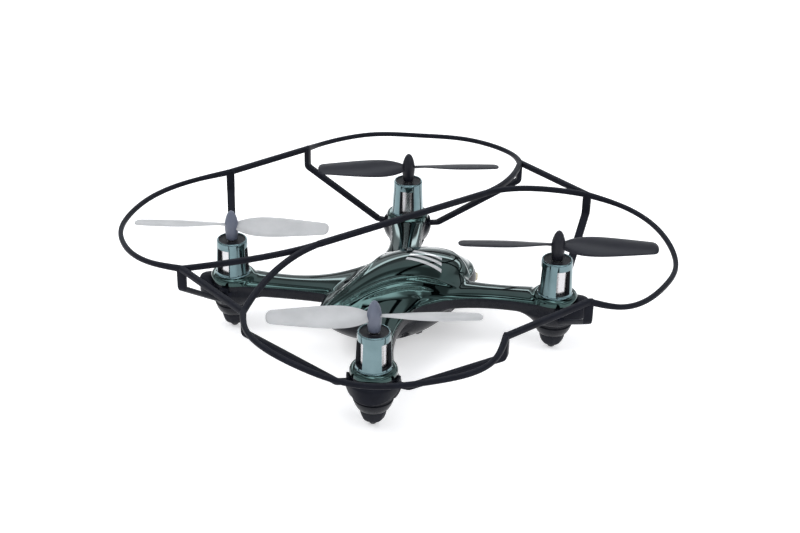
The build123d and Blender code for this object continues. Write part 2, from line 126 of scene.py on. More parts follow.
def add_stripes(material, centre, angle, pitch, length, count, lowest_z):
    """Generic pale speed stripes, printed across the top of the body. Lengths are in millimetres."""
    tree = material.node_tree
    shader = tree.nodes["Principled BSDF"]
    place = node(tree, "ShaderNodeTexCoord")
    about = node(tree, "ShaderNodeVectorRotate", [("Vector", place.outputs["Object"])],
                 rotation_type="Z_AXIS", Angle=math.radians(angle),
                 Center=(centre[0] * MM, centre[1] * MM, 0))
    parts = node(tree, "ShaderNodeSeparateXYZ", [("Vector", about.outputs[0])])

    def math_node(operation, *values):
        made = node(tree, "ShaderNodeMath", operation=operation)
        for index, value in enumerate(values):
            if isinstance(value, (int, float)):
                made.inputs[index].default_value = value
            else:
                tree.links.new(value, made.inputs[index])
        return made.outputs[0]

    along = math_node("SUBTRACT", parts.outputs["X"], centre[0] * MM)
    across = math_node("SUBTRACT", parts.outputs["Y"], centre[1] * MM)
    row = math_node("DIVIDE", across, pitch * MM)
    reach = math_node("MULTIPLY_ADD", row, -STRIPE_TAPER * MM, length * MM / 2)
    inside = math_node("LESS_THAN", math_node("ABSOLUTE", along), reach)
    band = math_node("LESS_THAN", math_node("ABSOLUTE", row), count / 2)
    bars = math_node("LESS_THAN", math_node("FRACT", math_node("ADD", row, count / 2)), STRIPE_SHARE)
    high = math_node("GREATER_THAN", parts.outputs["Z"], lowest_z * MM)
    mask = math_node("MULTIPLY", math_node("MULTIPLY", inside, band), math_node("MULTIPLY", bars, high))
    old = shader.inputs["Base Color"].links[0].from_socket
    mixed = node(tree, "ShaderNodeMix", data_type="RGBA")
    tree.links.new(mask, mixed.inputs["Factor"])
    tree.links.new(old, mixed.inputs["A"])
    mixed.inputs["B"].default_value = STRIPE_COLOUR
    tree.links.new(mixed.outputs["Result"], shader.inputs["Base Color"])
    metal = math_node("SUBTRACT", 1.0, mask)
    tree.links.new(metal, shader.inputs["Metallic"])


plated = finish(
    "plated_green", (0.020, 0.045, 0.042), (0.029, 0.062, 0.058), (0.035, 0.09), 0.35, 0.12,
    mottle=9, Metallic=1.0, Coat_Weight=0.45, Coat_Roughness=0.03)
# painted sheen: the same green plating made lighter and bluer for the towers, standing in for the light on
# their upright pillars
plated_tower_sheen = finish(
    "plated_green_tower", (0.115, 0.180, 0.195), (0.150, 0.225, 0.242), (0.08, 0.16), 0.35, 0.12,
    mottle=5, Metallic=1.0, Coat_Weight=0.3, Coat_Roughness=0.04)
# painted shade: near black for the cage's inside, window jambs and recessed cap, standing in for shade there
# and for the dark prop mirrored in the cap
tower_shade_paint = finish(
    "tower_raw_abs", (0.007, 0.008, 0.011), (0.011, 0.012, 0.016), (0.35, 0.5), 0.15, 1.0,
    mottle=2, Specular_IOR_Level=0.15)
add_stripes(plated, centre=(2.6, 10.2), angle=-38, pitch=2.5, length=9.0, count=3, lowest_z=18.0)
black_gloss = finish(
    "black_gloss_abs", (0.0065, 0.0072, 0.0105), (0.0100, 0.0108, 0.0150), (0.22, 0.34), 0.16, 0.6,
    mottle=4, Specular_IOR_Level=0.15)
guard_black = finish(
    "guard_black_nylon", (0.0060, 0.0068, 0.0105), (0.0095, 0.0105, 0.0160), (0.42, 0.55), 0.12, 2.0,
    mottle=3.5, Specular_IOR_Level=0.07)
pale_blade = finish(
    "pale_blade", (0.37, 0.375, 0.38), (0.44, 0.445, 0.45), (0.28, 0.40), 0.3, 0.8,
    mottle=6, Specular_IOR_Level=0.5)
pale_hub = finish(
    "pale_spinner", (0.085, 0.097, 0.135), (0.115, 0.130, 0.175), (0.34, 0.46), 0.2, 1.0, mottle=3)
dark_blade = finish(
    "dark_blade", (0.0095, 0.0100, 0.0145), (0.0135, 0.0140, 0.0195), (0.30, 0.40), 0.3, 0.6,
    mottle=8, Specular_IOR_Level=0.2)
steel = finish(
    "drawn_steel", (0.56, 0.55, 0.56), (0.66, 0.65, 0.66), (0.22, 0.30), 0.25, 0.04,
    mottle=3, stretch=(1, 1, 0.12), Metallic=1.0, Anisotropic=0.3)
rubber = finish(
    "foot_rubber", (0.0085, 0.0095, 0.0135), (0.0135, 0.0145, 0.0195), (0.50, 0.68), 0.10, 4.0,
    mottle=1.5, Specular_IOR_Level=0.12)
ivory = finish(
    "ivory_nylon", (0.50, 0.43, 0.27), (0.66, 0.58, 0.40), (0.35, 0.5), 0.15, 2.0, Subsurface_Weight=0.1)
brass = finish(
    "contact_brass", (0.55, 0.36, 0.12), (0.75, 0.52, 0.20), (0.2, 0.35), 0.1, 0.8, Metallic=1.0)
copper = finish(
    "enamelled_copper", (0.42, 0.13, 0.05), (0.60, 0.22, 0.09), (0.25, 0.4), 0.08, 8.0,
    stretch=(1, 1, 6), Metallic=1.0)
nickel = finish(
    "magnet_nickel", (0.42, 0.42, 0.44), (0.55, 0.55, 0.56), (0.2, 0.32), 0.2, 0.8, Metallic=1.0)
cap_white = finish("end_cap_plastic", (0.55, 0.55, 0.52), (0.68, 0.68, 0.65), (0.4, 0.55), 0.15, 2.0)
lead_red = finish("lead_insulation", (0.30, 0.02, 0.02), (0.45, 0.04, 0.03), (0.35, 0.5), 0.2, 1.5)
board = finish("board_green", (0.01, 0.09, 0.04), (0.02, 0.15, 0.06), (0.28, 0.42), 0.4, 4.0)
chip = finish("chip_black", (0.012, 0.012, 0.013), (0.025, 0.025, 0.026), (0.45, 0.6), 0.08, 3.0)
pouch = finish(
    "battery_pouch", (0.33, 0.34, 0.36), (0.50, 0.51, 0.53), (0.28, 0.45), 1.2, 18.0, Metallic=0.8)
foam = finish("foam", (0.05, 0.05, 0.055), (0.10, 0.10, 0.11), (0.85, 0.95), 0.35, 60.0)
switch_steel = finish(
    "switch_metal", (0.50, 0.50, 0.50), (0.62, 0.62, 0.62), (0.25, 0.4), 0.2, 0.8, Metallic=1.0)
switch_black = finish(
    "switch_black", (0.012, 0.012, 0.014), (0.022, 0.022, 0.026), (0.35, 0.5), 0.12, 3.0)
screw_steel = finish(
    "screw_black_steel", (0.06, 0.06, 0.065), (0.12, 0.12, 0.125), (0.25, 0.4), 0.15, 1.0, Metallic=1.0)

BY_SLOT = {                           # finishes of the CAD nodes that stay in sight
    "motor_steel": steel, "shaft_steel": steel, "end_cap_plastic": cap_white, "magnet_nickel": nickel,
    "winding_copper": copper, "lead_insulation": lead_red, "board_green": board, "chip_black": chip,
    "battery_pouch": pouch, "foam": foam, "ivory_nylon": ivory, "contact_brass": brass,
    "switch_metal": switch_steel, "switch_black": switch_black, "screw_steel": screw_steel,
}


# ---------------------------------------------------------------- mesh helpers
def piece(name, points, faces, material, body="airframe", slot=None, smooth_angle=None):
    """A mesh object from points in millimetres, riding on a body."""
    mesh = bpy.data.meshes.new(name)
    mesh.from_pydata((np.asarray(points, float) * MM).tolist(), [], [list(map(int, f)) for f in faces])
    mesh.validate()
    mesh.materials.append(material)
    mesh.shade_smooth()
    if smooth_angle is not None:
        mesh.set_sharp_from_angle(angle=math.radians(smooth_angle))
    made = bpy.data.objects.new(name, mesh)
    bpy.context.scene.collection.objects.link(made)
    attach(made, body)
    return made


def joined(parts):
    """Several (points, faces) pairs as one."""
    points, faces, base = [], [], 0
    for some_points, some_faces in parts:
        points.extend(np.asarray(some_points, float).tolist())
        faces.extend([[i + base for i in face] for face in some_faces])
        base += len(some_points)
    return np.array(points), faces


def lathe(profile, centre, segments=72, ripple=None):
    """Revolves a closed outline of (radius, z) about Z. ripple(angle, z) scales the radius."""
    profile = np.asarray(profile, float)
    angles = np.arange(segments) * 2 * math.pi / segments
    points = []
    for angle in angles:
        scale = np.ones(len(profile)) if ripple is None else ripple(angle, profile[:, 1])
        points.append(np.column_stack([centre[0] + profile[:, 0] * scale * math.cos(angle),
                                       centre[1] + profile[:, 0] * scale * math.sin(angle), profile[:, 1]]))
    n = len(profile)
    faces = []
    for i in range(segments):
        j = (i + 1) % segments
        for k in range(n):
            m = (k + 1) % n
            faces.append((i * n + k, j * n + k, j * n + m, i * n + m))
    return np.vstack(points), faces


WELD_DISTANCE = 1e-6                  # metres


def weld(made):
    """Welds doubled points, such as those on a lathe's axis, and drops empty faces."""
    shape = bmesh.new()
    shape.from_mesh(made.data)
    bmesh.ops.remove_doubles(shape, verts=shape.verts, dist=WELD_DISTANCE)
    bmesh.ops.dissolve_degenerate(shape, edges=shape.edges, dist=WELD_DISTANCE)
    bmesh.ops.recalc_face_normals(shape, faces=shape.faces)
    shape.to_mesh(made.data)
    shape.free()


def rounded_section(width, height, radius):
    """Outline of a rounded rectangle as (across, up) points, with three steps to a corner."""
    points = []
    for sx, sy, start in ((1, 1, 0), (-1, 1, 90), (-1, -1, 180), (1, -1, 270)):
        for k in range(4):
            a = math.radians(start + 90 * k / 3)
            points.append((sx * (width / 2 - radius) + radius * math.cos(a),
                           sy * (height / 2 - radius) + radius * math.sin(a)))
    return np.array(points)


def sweep(path, section, up=(0, 0, 1), scales=None):
    """Sweeps an (across, up) outline along a path, keeping up as upright as it can."""
    path = np.asarray(path, float)
    up = np.asarray(up, float)
    n, m = len(path), len(section)
    points = []
    for i in range(n):
        along = path[min(i + 1, n - 1)] - path[max(i - 1, 0)]
        along = along / np.linalg.norm(along)
        across = np.cross(along, up)
        across /= np.linalg.norm(across)
        upright = np.cross(across, along)
        grow = 1.0 if scales is None else scales[i]
        points.extend(path[i] + grow * (u * across + v * upright) for u, v in section)
    return np.array(points), tube_faces(n, m)


def tube_faces(rings, around):
    """Quads between rings of points that follow one another, with a face at each end."""
    faces = []
    for i in range(rings - 1):
        for k in range(around):
            m = (k + 1) % around
            faces.append((i * around + k, i * around + m, (i + 1) * around + m, (i + 1) * around + k))
    faces.append(tuple(range(around))[::-1])
    faces.append(tuple((rings - 1) * around + k for k in range(around)))
    return faces


def filleted(points, radius):
    """A polyline in space with its inner corners rounded by parabolas."""
    p = [np.asarray(q, float) for q in points]
    out = [p[0]]
    for a, b, c in zip(p, p[1:], p[2:]):
        u, v = (a - b) / np.linalg.norm(a - b), (c - b) / np.linalg.norm(c - b)
        half = math.acos(np.clip(u @ v, -1, 1)) / 2
        cut = min(radius / math.tan(half), 0.45 * np.linalg.norm(a - b), 0.45 * np.linalg.norm(c - b))
        start, end = b + u * cut, b + v * cut
        for t in np.linspace(0, 1, 7):
            out.append((1 - t) ** 2 * start + 2 * t * (1 - t) * b + t * t * end)
    out.append(p[-1])
    return np.array(out)


# ---------------------------------------------------------------- shells as level sets
# body: stations along Y as (y, half width, top z, bottom z)
STATIONS = np.array([
    (-24.2, 2.0, 15.6, 12.6), (-22.4, 4.8, 16.6, 10.4), (-18.6, 8.0, 18.2, 7.0), (-13.0, 11.0, 20.2, 3.9),
    (-6.0, 13.3, 22.0, 2.3), (2.0, 14.2, 23.0, 1.9), (10.0, 13.4, 23.2, 2.2), (17.0, 11.5, 22.3, 3.6),
    (23.0, 8.8, 20.0, 6.0), (26.6, 6.2, 17.4, 8.2), (28.2, 3.6, 15.0, 10.2),
])
BODY_ENDS = (-24.6, 28.9)             # y of the nose's and the tail's very ends
station_y, half_width, top_z, low_z = STATIONS.T
width_fit = np.polyfit([BODY_ENDS[0], *station_y, BODY_ENDS[1]], [0, *half_width ** 2, 0], 7)
ratio_fit = np.polyfit(station_y[1:-1], (half_width / ((top_z - low_z) / 2))[1:-1] ** 2, 2)
middle_fit = np.polyfit(station_y, (top_z + low_z) / 2, 4)

# one arm in its own axes: s along the diagonal, half widths towards the waist and towards the body's end
ARM = np.array([
    (9, 9.2, 9.5), (17, 5.4, 7.0), (25, 3.9, 6.0), (34, 4.0, 5.7), (42, 5.4, 5.6), (46, 6.2, 5.9)])
CROWN = np.array([(10, 18.2), (16, 17.35), (22, 16.9), (30, 16.6), (38, 16.8), (44, 16.9)])     # (s, top z)
waist_fit = np.polyfit(ARM[:, 0], ARM[:, 1], 4)
outer_fit = np.polyfit(ARM[:, 0], ARM[:, 2], 4)
crown_fit = np.polyfit(CROWN[:, 0], CROWN[:, 1], 4)
ARM_ROOT_S, ARM_END_S = 6, 45.68      # the arm's field ends here, inside the body and at the motor
ARM_LOW_Z, ARM_EDGE = 12.1, 1.3       # the arm's underside, and the radius of its long edges
CROWN_FALL = 0.9                      # how far the crown drops from the middle to the arm's sides
POD_RADIUS, FLANGE_RADIUS, FLANGE_Z, FLANGE_EDGE, POD_LOW_Z = 6.15, 6.35, 17.55, 1.15, 9.5
POD_TAPER, TAPER_Z, TAPER_HEIGHT = 0.2, 10.8, 1.3    # a pod narrows by this below that height
POD_FILLET, UNDERSIDE_FILLET = 0.8, 4.2              # arm to pod above, and what it grows by underneath
BODY_FILLET, REAR_FILLET = 1.0, 0.9                  # body to arm at the nose, and what it grows by behind

# ridge on each flank, from the nose to the rear arm's upper edge: (y, angle above the side in degrees)
RIDGE = np.array([
    (-24, 70), (-18.8, 73.5), (-13.6, 75.6), (-7.6, 72.1), (-2.1, 64.6), (2.1, 57.6), (4.7, 51.4),
    (6.8, 44.6), (10.0, 33.0), (12.6, 22.0), (16, 8), (22, -10)])
ridge_fit = np.polyfit(RIDGE[:, 0], RIDGE[:, 1], 6)
FLANK_RATIO = 1.34                    # half width to half height of the body at the ridge
MM_PER_DEGREE = 0.2                   # way down the surface for one degree of that angle
RIDGE_Y = (-23, 14)                   # the ridge's line is followed between these, and level past them
RIDGE_FADE_IN, RIDGE_FADE_OUT = (-22, -17), (11, 16)
RIDGE_LIP, RIDGE_LIP_WIDTH = 0.18, 0.45
RIDGE_STEP, RIDGE_STEP_AT = 0.60, (0.1, 1.5)         # how far in the flank is, and how far down it gets there
SCOOP_TOP, SCOOP_SLANT, SCOOP_SLANT_Y = 2.5, 0.12, (-1, 9)      # its upper edge drops away behind
SCOOP_DEPTH, SCOOP_WALL, SCOOP_FADE_OUT = 1.05, 1.1, (7.5, 12)
SCOOP_MIDDLE_Y, SCOOP_HALF_LENGTH = -4.0, 8.0
SCOOP_LIP, SCOOP_LIP_WIDTH, SCOOP_LIP_ABOVE = 0.10, 0.4, 0.2
COWL_DEPTH, COWL_Y, COWL_BOW, COWL_LEAN, COWL_Z = 0.55, (22.6, 23.2), 0.02, 0.12, 19
RELIEF_ABOVE = (0.2, 1.2)             # the relief fades in over this height above the parting plane
END_MARGIN, END_RISE = 1.5, 40        # the body's field keeps rising this fast past its ends


def rounded_max(a, b, r):
    """Intersection of two fields, with its edge rounded to r."""
    return np.minimum(np.maximum(a, b), -r) + np.hypot(np.maximum(a + r, 0), np.maximum(b + r, 0))


def rounded_min(a, b, r):
    """Union of two fields, with a fillet of radius r between them."""
    return np.maximum(np.minimum(a, b), r) - np.hypot(np.maximum(r - a, 0), np.maximum(r - b, 0))


def step(t, low, high):
    """0 below low, 1 above high, and a smooth rise between them."""
    t = np.clip((t - low) / (high - low), 0, 1)
    return t * t * (3 - 2 * t)


def egg_field(x, y, z):
    """The plain body: an ellipse at each y, as a field that is near to a distance."""
    y_in = np.clip(y, BODY_ENDS[0] - END_MARGIN, BODY_ENDS[1] + END_MARGIN)
    square = np.polyval(width_fit, y_in) - END_RISE * np.abs(y - y_in)
    ratio = np.polyval(ratio_fit, np.clip(y, station_y[1], station_y[-2]))
    dz = z - np.polyval(middle_fit, y_in)
    slope = np.polyval(np.polyder(width_fit), y_in)
    steepness = 2 * np.sqrt(x * x + (ratio * dz) ** 2 + slope ** 2 / 4 + 0.5)      # never quite zero
    return (x * x + ratio * dz * dz - square) / steepness


def relief(x, y, z):
    """How far the plated back stands in from the plain body: ridge, flank scoop and tail cowl."""
    dz = z - np.polyval(middle_fit, np.clip(y, *BODY_ENDS))
    angle = np.degrees(np.arctan2(FLANK_RATIO * dz, np.abs(x) + 1e-6))
    down = (np.polyval(ridge_fit, np.clip(y, *RIDGE_Y)) - angle) * MM_PER_DEGREE      # below the ridge's line
    ridge_reach = step(y, *RIDGE_FADE_IN) * (1 - step(y, *RIDGE_FADE_OUT))
    ridge = RIDGE_STEP * step(down, *RIDGE_STEP_AT) - RIDGE_LIP * np.exp(-(down / RIDGE_LIP_WIDTH) ** 2)
    scoop_top = SCOOP_TOP + SCOOP_SLANT * (np.clip(y, *SCOOP_SLANT_Y) - SCOOP_SLANT_Y[0])
    scoop_reach = np.exp(-(np.abs(y - SCOOP_MIDDLE_Y) / SCOOP_HALF_LENGTH) ** 4)
    hollow = SCOOP_DEPTH * step(down, scoop_top, scoop_top + SCOOP_WALL) * (1 - step(down, *SCOOP_FADE_OUT))
    lip = SCOOP_LIP * np.exp(-((down - scoop_top + SCOOP_LIP_ABOVE) / SCOOP_LIP_WIDTH) ** 2)
    cowl = COWL_DEPTH * step(y + COWL_BOW * x * x + COWL_LEAN * (z - COWL_Z), *COWL_Y)
    above = step(z - PARTING_Z, *RELIEF_ABOVE)
    return above * (ridge_reach * (ridge + scoop_reach * (hollow - lip)) + cowl)


def shell_field(x, y, z):
    """Body, four arms and four pods as one field. The arms and pods are alike in each quarter."""
    ax, ay = np.abs(x), np.abs(y)
    s, off = (ax + ay) / math.sqrt(2), (ax - ay) / math.sqrt(2)
    s_in = np.clip(s, ARM[0, 0], ARM[-1, 0])
    waist, outer = np.polyval(waist_fit, s_in), np.polyval(outer_fit, s_in)
    centre, half = (waist - outer) / 2, (waist + outer) / 2
    side = np.abs(off - centre) - half
    crown = np.polyval(crown_fit, s_in) - CROWN_FALL * np.clip((off - centre) / half, -1.2, 1.2) ** 2
    arm = rounded_max(side, z - crown, ARM_EDGE)
    arm = rounded_max(arm, ARM_LOW_Z - z, ARM_EDGE)
    arm = np.maximum(arm, np.maximum(s - ARM_END_S, ARM_ROOT_S - s))
    r = np.hypot(ax - MOTOR_XY, ay - MOTOR_XY)
    wall = np.where(z > PARTING_Z, FLANGE_RADIUS,
                    POD_RADIUS - POD_TAPER * np.clip((TAPER_Z - z) / TAPER_HEIGHT, 0, 1.2))
    pod = rounded_max(r - wall, z - FLANGE_Z, FLANGE_EDGE)
    pod = np.maximum(pod, POD_LOW_Z - z)
    limbs = rounded_min(arm, pod, POD_FILLET + UNDERSIDE_FILLET * step(-z, -14.6, -12.2))
    limbs = np.maximum(limbs, POD_LOW_Z - z)
    body = egg_field(x, y, z) + relief(x, y, z)
    return rounded_min(body, limbs, BODY_FILLET + REAR_FILLET * step(y, -4, 8))


NET_ROUNDS, PULLS = 5, 3              # rounds of evening out, and Newton steps after each
NET_EVENING = 0.55                    # how far a point moves to the middle of its neighbours in a round


def surface_net(field, low, high, pitch):
    """Quads on the zero level of a field, evened out and pulled exactly onto it."""
    axes = [np.arange(a, b + pitch, pitch) for a, b in zip(low, high)]
    grids = np.meshgrid(*axes, indexing="ij")
    value = field(*grids)
    cells = tuple(n - 1 for n in value.shape)
    crossings = []
    for d in range(3):
        start = value[tuple(slice(0, -1) if k == d else slice(None) for k in range(3))]
        stop = value[tuple(slice(1, None) if k == d else slice(None) for k in range(3))]
        where = np.argwhere((start < 0) != (stop < 0))
        inside = [(where[:, k] > 0) & (where[:, k] < cells[k]) for k in range(3) if k != d]
        where = where[np.all(inside, axis=0)]
        a, b = start[tuple(where.T)], stop[tuple(where.T)]
        spot = where * 1.0
        spot[:, d] += a / (a - b)
        e, f = [k for k in range(3) if k != d]
        around = []
        for de, df in ((0, 0), (-1, 0), (-1, -1), (0, -1)):
            cell = where.copy()
            cell[:, e] += de
            cell[:, f] += df
            around.append(np.ravel_multi_index(tuple(cell.T), cells))
        quads = np.stack(around, axis=1)
        flip = (a >= 0) if d != 1 else (a < 0)
        quads[flip] = quads[flip][:, ::-1]
        crossings.append((quads, spot))
    quads = np.vstack([q for q, _ in crossings])
    spots = np.vstack([s for _, s in crossings])
    used, index = np.unique(quads, return_inverse=True)
    index = index.reshape(quads.shape)
    total, count = np.zeros((len(used), 3)), np.zeros(len(used))
    for k in range(4):
        np.add.at(total, index[:, k], spots)
        np.add.at(count, index[:, k], 1)
    points = total / count[:, None] * pitch + np.array([a[0] for a in axes])
    for _ in range(NET_ROUNDS):
        total[:], count[:] = 0, 0
        for k in range(4):
            np.add.at(total, index[:, k], points[index[:, (k + 1) % 4]] + points[index[:, k - 1]])
            np.add.at(count, index[:, k], 2)
        points = (1 - NET_EVENING) * points + NET_EVENING * total / count[:, None]
        for _ in range(PULLS):
            points = pulled(field, points)
    return points, index


def pulled(field, points, reach=0.02, longest=0.3):
    """One Newton step towards the zero level, no longer than longest."""
    x, y, z = points.T
    here = field(x, y, z)
    slope = np.stack([
        field(x + reach, y, z) - field(x - reach, y, z),
        field(x, y + reach, z) - field(x, y - reach, z),
        field(x, y, z + reach) - field(x, y, z - reach),
    ], axis=1) / (2 * reach)
    move = (here / np.maximum((slope ** 2).sum(1), 0.05))[:, None] * slope
    length = np.linalg.norm(move, axis=1, keepdims=True)
    return points - move * np.minimum(1, longest / np.maximum(length, 1e-9))


def cut_shell(name, net, keep_above, open_radius, material, slot):
    """Keeps one side of the parting plane, opens the shell round each motor, and gives the rest a wall."""
    made = piece(name, *net, material, slot=slot)
    shape = bmesh.new()
    shape.from_mesh(made.data)
    bmesh.ops.bisect_plane(
        shape, geom=shape.verts[:] + shape.edges[:] + shape.faces[:], plane_co=(0, 0, PARTING_Z * MM),
        plane_no=(0, 0, 1), clear_inner=keep_above, clear_outer=not keep_above, dist=1e-6)
    hidden = [f for f in shape.faces if motor_distance(f.calc_center_median() / MM) < open_radius]
    bmesh.ops.delete(shape, geom=hidden, context="FACES")
    shape.to_mesh(made.data)
    shape.free()
    made.data.shade_smooth()
    thick = made.modifiers.new("wall", "SOLIDIFY")
    thick.thickness = SHELL_WALL * MM
    thick.offset = -1
    thick.use_even_offset = False
    return made


def motor_distance(point):
    """Distance in plan from the nearest motor axis, in millimetres."""
    return math.hypot(abs(point[0]) - MOTOR_XY, abs(point[1]) - MOTOR_XY)


SHELL_WALL = 0.9
NET_PITCH = 0.42
NET_HALF = 39.4                       # the nets cover this much to each side of the middle
UPPER_NET_Z, LOWER_NET_Z = (14.6, 24.4), (1.0, 16.6)
UPPER_OPEN_RADIUS, LOWER_OPEN_RADIUS = 4.4, 5.3      # openings under the towers and over the pods' cups
LOWER_INSET = 0.1                     # the lower shell stands this far in from the plated one
SCREW_HOLES, SCREW_HOLE_RADIUS = ((-10.6, -4.0), (10.6, -4.0), (-10.4, 13.2), (10.4, 13.2)), 1.25
SWITCH_SLOT, SLOT_HALF, SLOT_TOP = (7.2, 4.8), (0.95, 2.1), 9.0      # middle and half size in plan, and top z


def lower_field(x, y, z):
    """The shells' field with the screw holes and the switch's slot cut into the belly."""
    value = shell_field(x, y, z) + LOWER_INSET
    for hole_x, hole_y in SCREW_HOLES:
        value = np.maximum(value, SCREW_HOLE_RADIUS - np.hypot(x - hole_x, y - hole_y))
    slot = np.maximum(np.abs(x - SWITCH_SLOT[0]) - SLOT_HALF[0], np.abs(y - SWITCH_SLOT[1]) - SLOT_HALF[1])
    return np.maximum(value, -np.maximum(slot, z - SLOT_TOP))


def shell_net(field, z_range):
    """The net of a field over the whole drone between two heights."""
    return surface_net(field, (-NET_HALF, -NET_HALF, z_range[0]), (NET_HALF, NET_HALF, z_range[1]), NET_PITCH)


upper = cut_shell("upper_shell_skin", shell_net(shell_field, UPPER_NET_Z), True, UPPER_OPEN_RADIUS,
                  plated, "plated_shell")
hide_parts("upper_shell")
lower = cut_shell("lower_shell_skin", shell_net(lower_field, LOWER_NET_Z), False, LOWER_OPEN_RADIUS,
                  black_gloss, "black_shell")
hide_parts("lower_shell")

# ---------------------------------------------------------------- towers
# the cage's outer and inner outline as (radius, z), step for step
TOWER_OUT = [
    (5.35, 17.35), (5.0, 17.55), (4.78, 17.9), (4.74, 18.3), (4.42, 25.7), (4.34, 27.3), (4.28, 27.65),
    (4.12, 27.83), (3.98, 27.86), (3.84, 27.78), (3.76, 27.5), (2.6, 27.42), (1.4, 27.42)]
TOWER_IN = [
    (3.62, 17.35), (3.62, 17.55), (3.62, 17.9), (3.62, 18.3), (3.62, 25.7), (3.62, 26.6), (3.62, 26.9),
    (3.61, 27.0), (3.6, 27.08), (3.58, 27.13), (3.5, 27.15), (2.6, 27.15), (1.4, 27.15)]
CAP_ROW = 9                           # from this step on the outer outline is the recessed cap, painted dark as shade and as the dark prop it mirrors
WINDOW_ROW = 3                        # the windows take this step of the two outlines above
WINDOWS, WINDOW_PITCH, WINDOW_HALF_ANGLE = 3, 120, 27.0


def tower(centre, facing):
    """Round cage with three tall windows, one of them facing the given angle.

    Returns points, faces, and which faces are painted dark: painted shade inside the cage and on the window
    jambs, and a painted dark reflection on the recessed cap.
    """
    windows = [facing + WINDOW_PITCH * k for k in range(WINDOWS)]
    angles = []
    for middle in windows:
        angles += [middle + a for a in np.linspace(-WINDOW_HALF_ANGLE, WINDOW_HALF_ANGLE, 10)]
        angles += [middle + a
                   for a in np.linspace(WINDOW_HALF_ANGLE, WINDOW_PITCH - WINDOW_HALF_ANGLE, 13)[1:-1]]

    def in_window(angle):
        return min(abs((angle - w + 180) % 360 - 180) for w in windows) < WINDOW_HALF_ANGLE

    n, rows = len(angles), len(TOWER_OUT)
    points = [(centre[0] + r * math.cos(math.radians(a)), centre[1] + r * math.sin(math.radians(a)), z)
              for r, z in TOWER_OUT + TOWER_IN for a in angles]
    kept = np.ones((rows - 1, n), bool)
    kept[WINDOW_ROW] = [not (in_window(a + 0.01) and in_window(b - 0.01))
                        for a, b in zip(angles, angles[1:] + angles[:1])]

    def outer(row, k):
        return row * n + k % n

    def inner(row, k):
        return (rows + row) * n + k % n

    faces, shaded = [], []
    for row in range(rows - 1):
        for k in range(n):
            if not kept[row, k]:
                continue
            if row >= CAP_ROW:
                shaded.append(len(faces))
            faces.append((outer(row, k), outer(row, k + 1), outer(row + 1, k + 1), outer(row + 1, k)))
            shaded.append(len(faces))
            faces.append((inner(row, k), inner(row + 1, k), inner(row + 1, k + 1), inner(row, k + 1)))
            rim = len(faces)              # the window jambs and the lower rim are painted shade as well
            if row == 0 or not kept[row - 1, k]:
                faces.append((outer(row, k), inner(row, k), inner(row, k + 1), outer(row, k + 1)))
            if row == rows - 2 or not kept[row + 1, k]:
                faces.append((outer(row + 1, k), outer(row + 1, k + 1),
                              inner(row + 1, k + 1), inner(row + 1, k)))
            if not kept[row, k - 1]:
                faces.append((outer(row, k), outer(row + 1, k), inner(row + 1, k), inner(row, k)))
            if not kept[row, (k + 1) % n]:
                faces.append((outer(row, k + 1), inner(row, k + 1),
                              inner(row + 1, k + 1), outer(row + 1, k + 1)))
            shaded.extend(range(rim, len(faces)))
    return points, faces, shaded


def soften(made, width):
    """Small rounded edges, as on any moulding."""
    bevel = made.modifiers.new("edges", "BEVEL")
    bevel.width = width * MM
    bevel.segments = 2
    bevel.limit_method = "ANGLE"
    bevel.angle_limit = math.radians(32)
    bevel.use_clamp_overlap = True
    bevel.harden_normals = False


# closed outlines of (radius, z) for the turned pieces
POD = [
    (1.64, 5.0), (3.72, 5.0), (3.95, 5.06), (4.42, 5.55), (4.95, 6.55), (5.4, 7.85), (5.42, 8.02),
    (5.32, 8.16), (5.12, 8.24), (5.06, 8.4), (5.06, 9.02), (5.14, 9.22), (5.5, 9.36), (5.85, 9.47),
    (5.95, 9.6), (5.9, 9.85), (4.9, 9.85), (4.2, 6.2), (1.64, 6.0)]
FOOT = [
    (0.0, 0.0), (0.55, 0.0), (0.85, 0.1), (1.3, 0.7), (1.9, 1.15), (2.5, 1.6), (2.85, 2.0), (3.02, 2.35),
    (3.25, 3.0), (3.45, 3.8), (3.6, 4.5), (3.62, 4.85), (3.5, 5.0), (1.6, 5.0), (1.6, 6.0), (1.9, 6.02),
    (1.88, 6.2), (1.4, 6.7), (0.0, 6.7)]
HUB = [
    (0.0, 36.6), (0.34, 36.52), (0.8, 36.15), (1.25, 35.35), (1.62, 34.3), (1.86, 33.1), (1.95, 31.9),
    (1.93, 31.0), (1.82, 30.0), (1.68, 29.0), (1.62, 28.3), (1.58, 28.0), (1.45, 27.95), (0.53, 27.95),
    (0.53, 34.0), (0.0, 34.0)]


FLUTES, FLUTE_DEPTH = 8, 0.022        # flutes round a foot, and their depth as a share of its radius


def foot_ripple(angle, z):
    """Shallow flutes round the lower part of a foot."""
    return 1 + FLUTE_DEPTH * np.cos(FLUTES * angle) * step(z, 0.3, 1.2) * (1 - step(z, 3.6, 4.6))


# blade stations from the hub outwards as (radius, chord, pitch in degrees, thickness)
BLADE = np.array([
    (1.0, 2.3, 30.0, 0.95), (3.0, 4.3, 27.5, 0.85), (4.8, 6.0, 24.5, 0.75), (9.5, 7.8, 18.5, 0.65),
    (14.5, 7.9, 14.5, 0.60), (20.0, 7.1, 12.0, 0.52), (25.0, 5.9, 10.5, 0.42), (27.5, 5.3, 10.0, 0.36)])
BLADE_Z, TIP_ROUND = 31.9, 1.9        # height of a blade's axis, and length of its rounded tip
TIP_POWERS = (2.8, 0.42)              # they set how blunt the tip is
TIP_CHORD, TIP_THICKNESS = 0.06, 0.35                # least shares of the chord and of the squared thickness
CAMBER = 0.24                         # rise of the camber line, as a factor of chord * t * (1 - t)
OVER, UNDER = 0.62, 0.30              # how the thickness is shared above and below the camber line


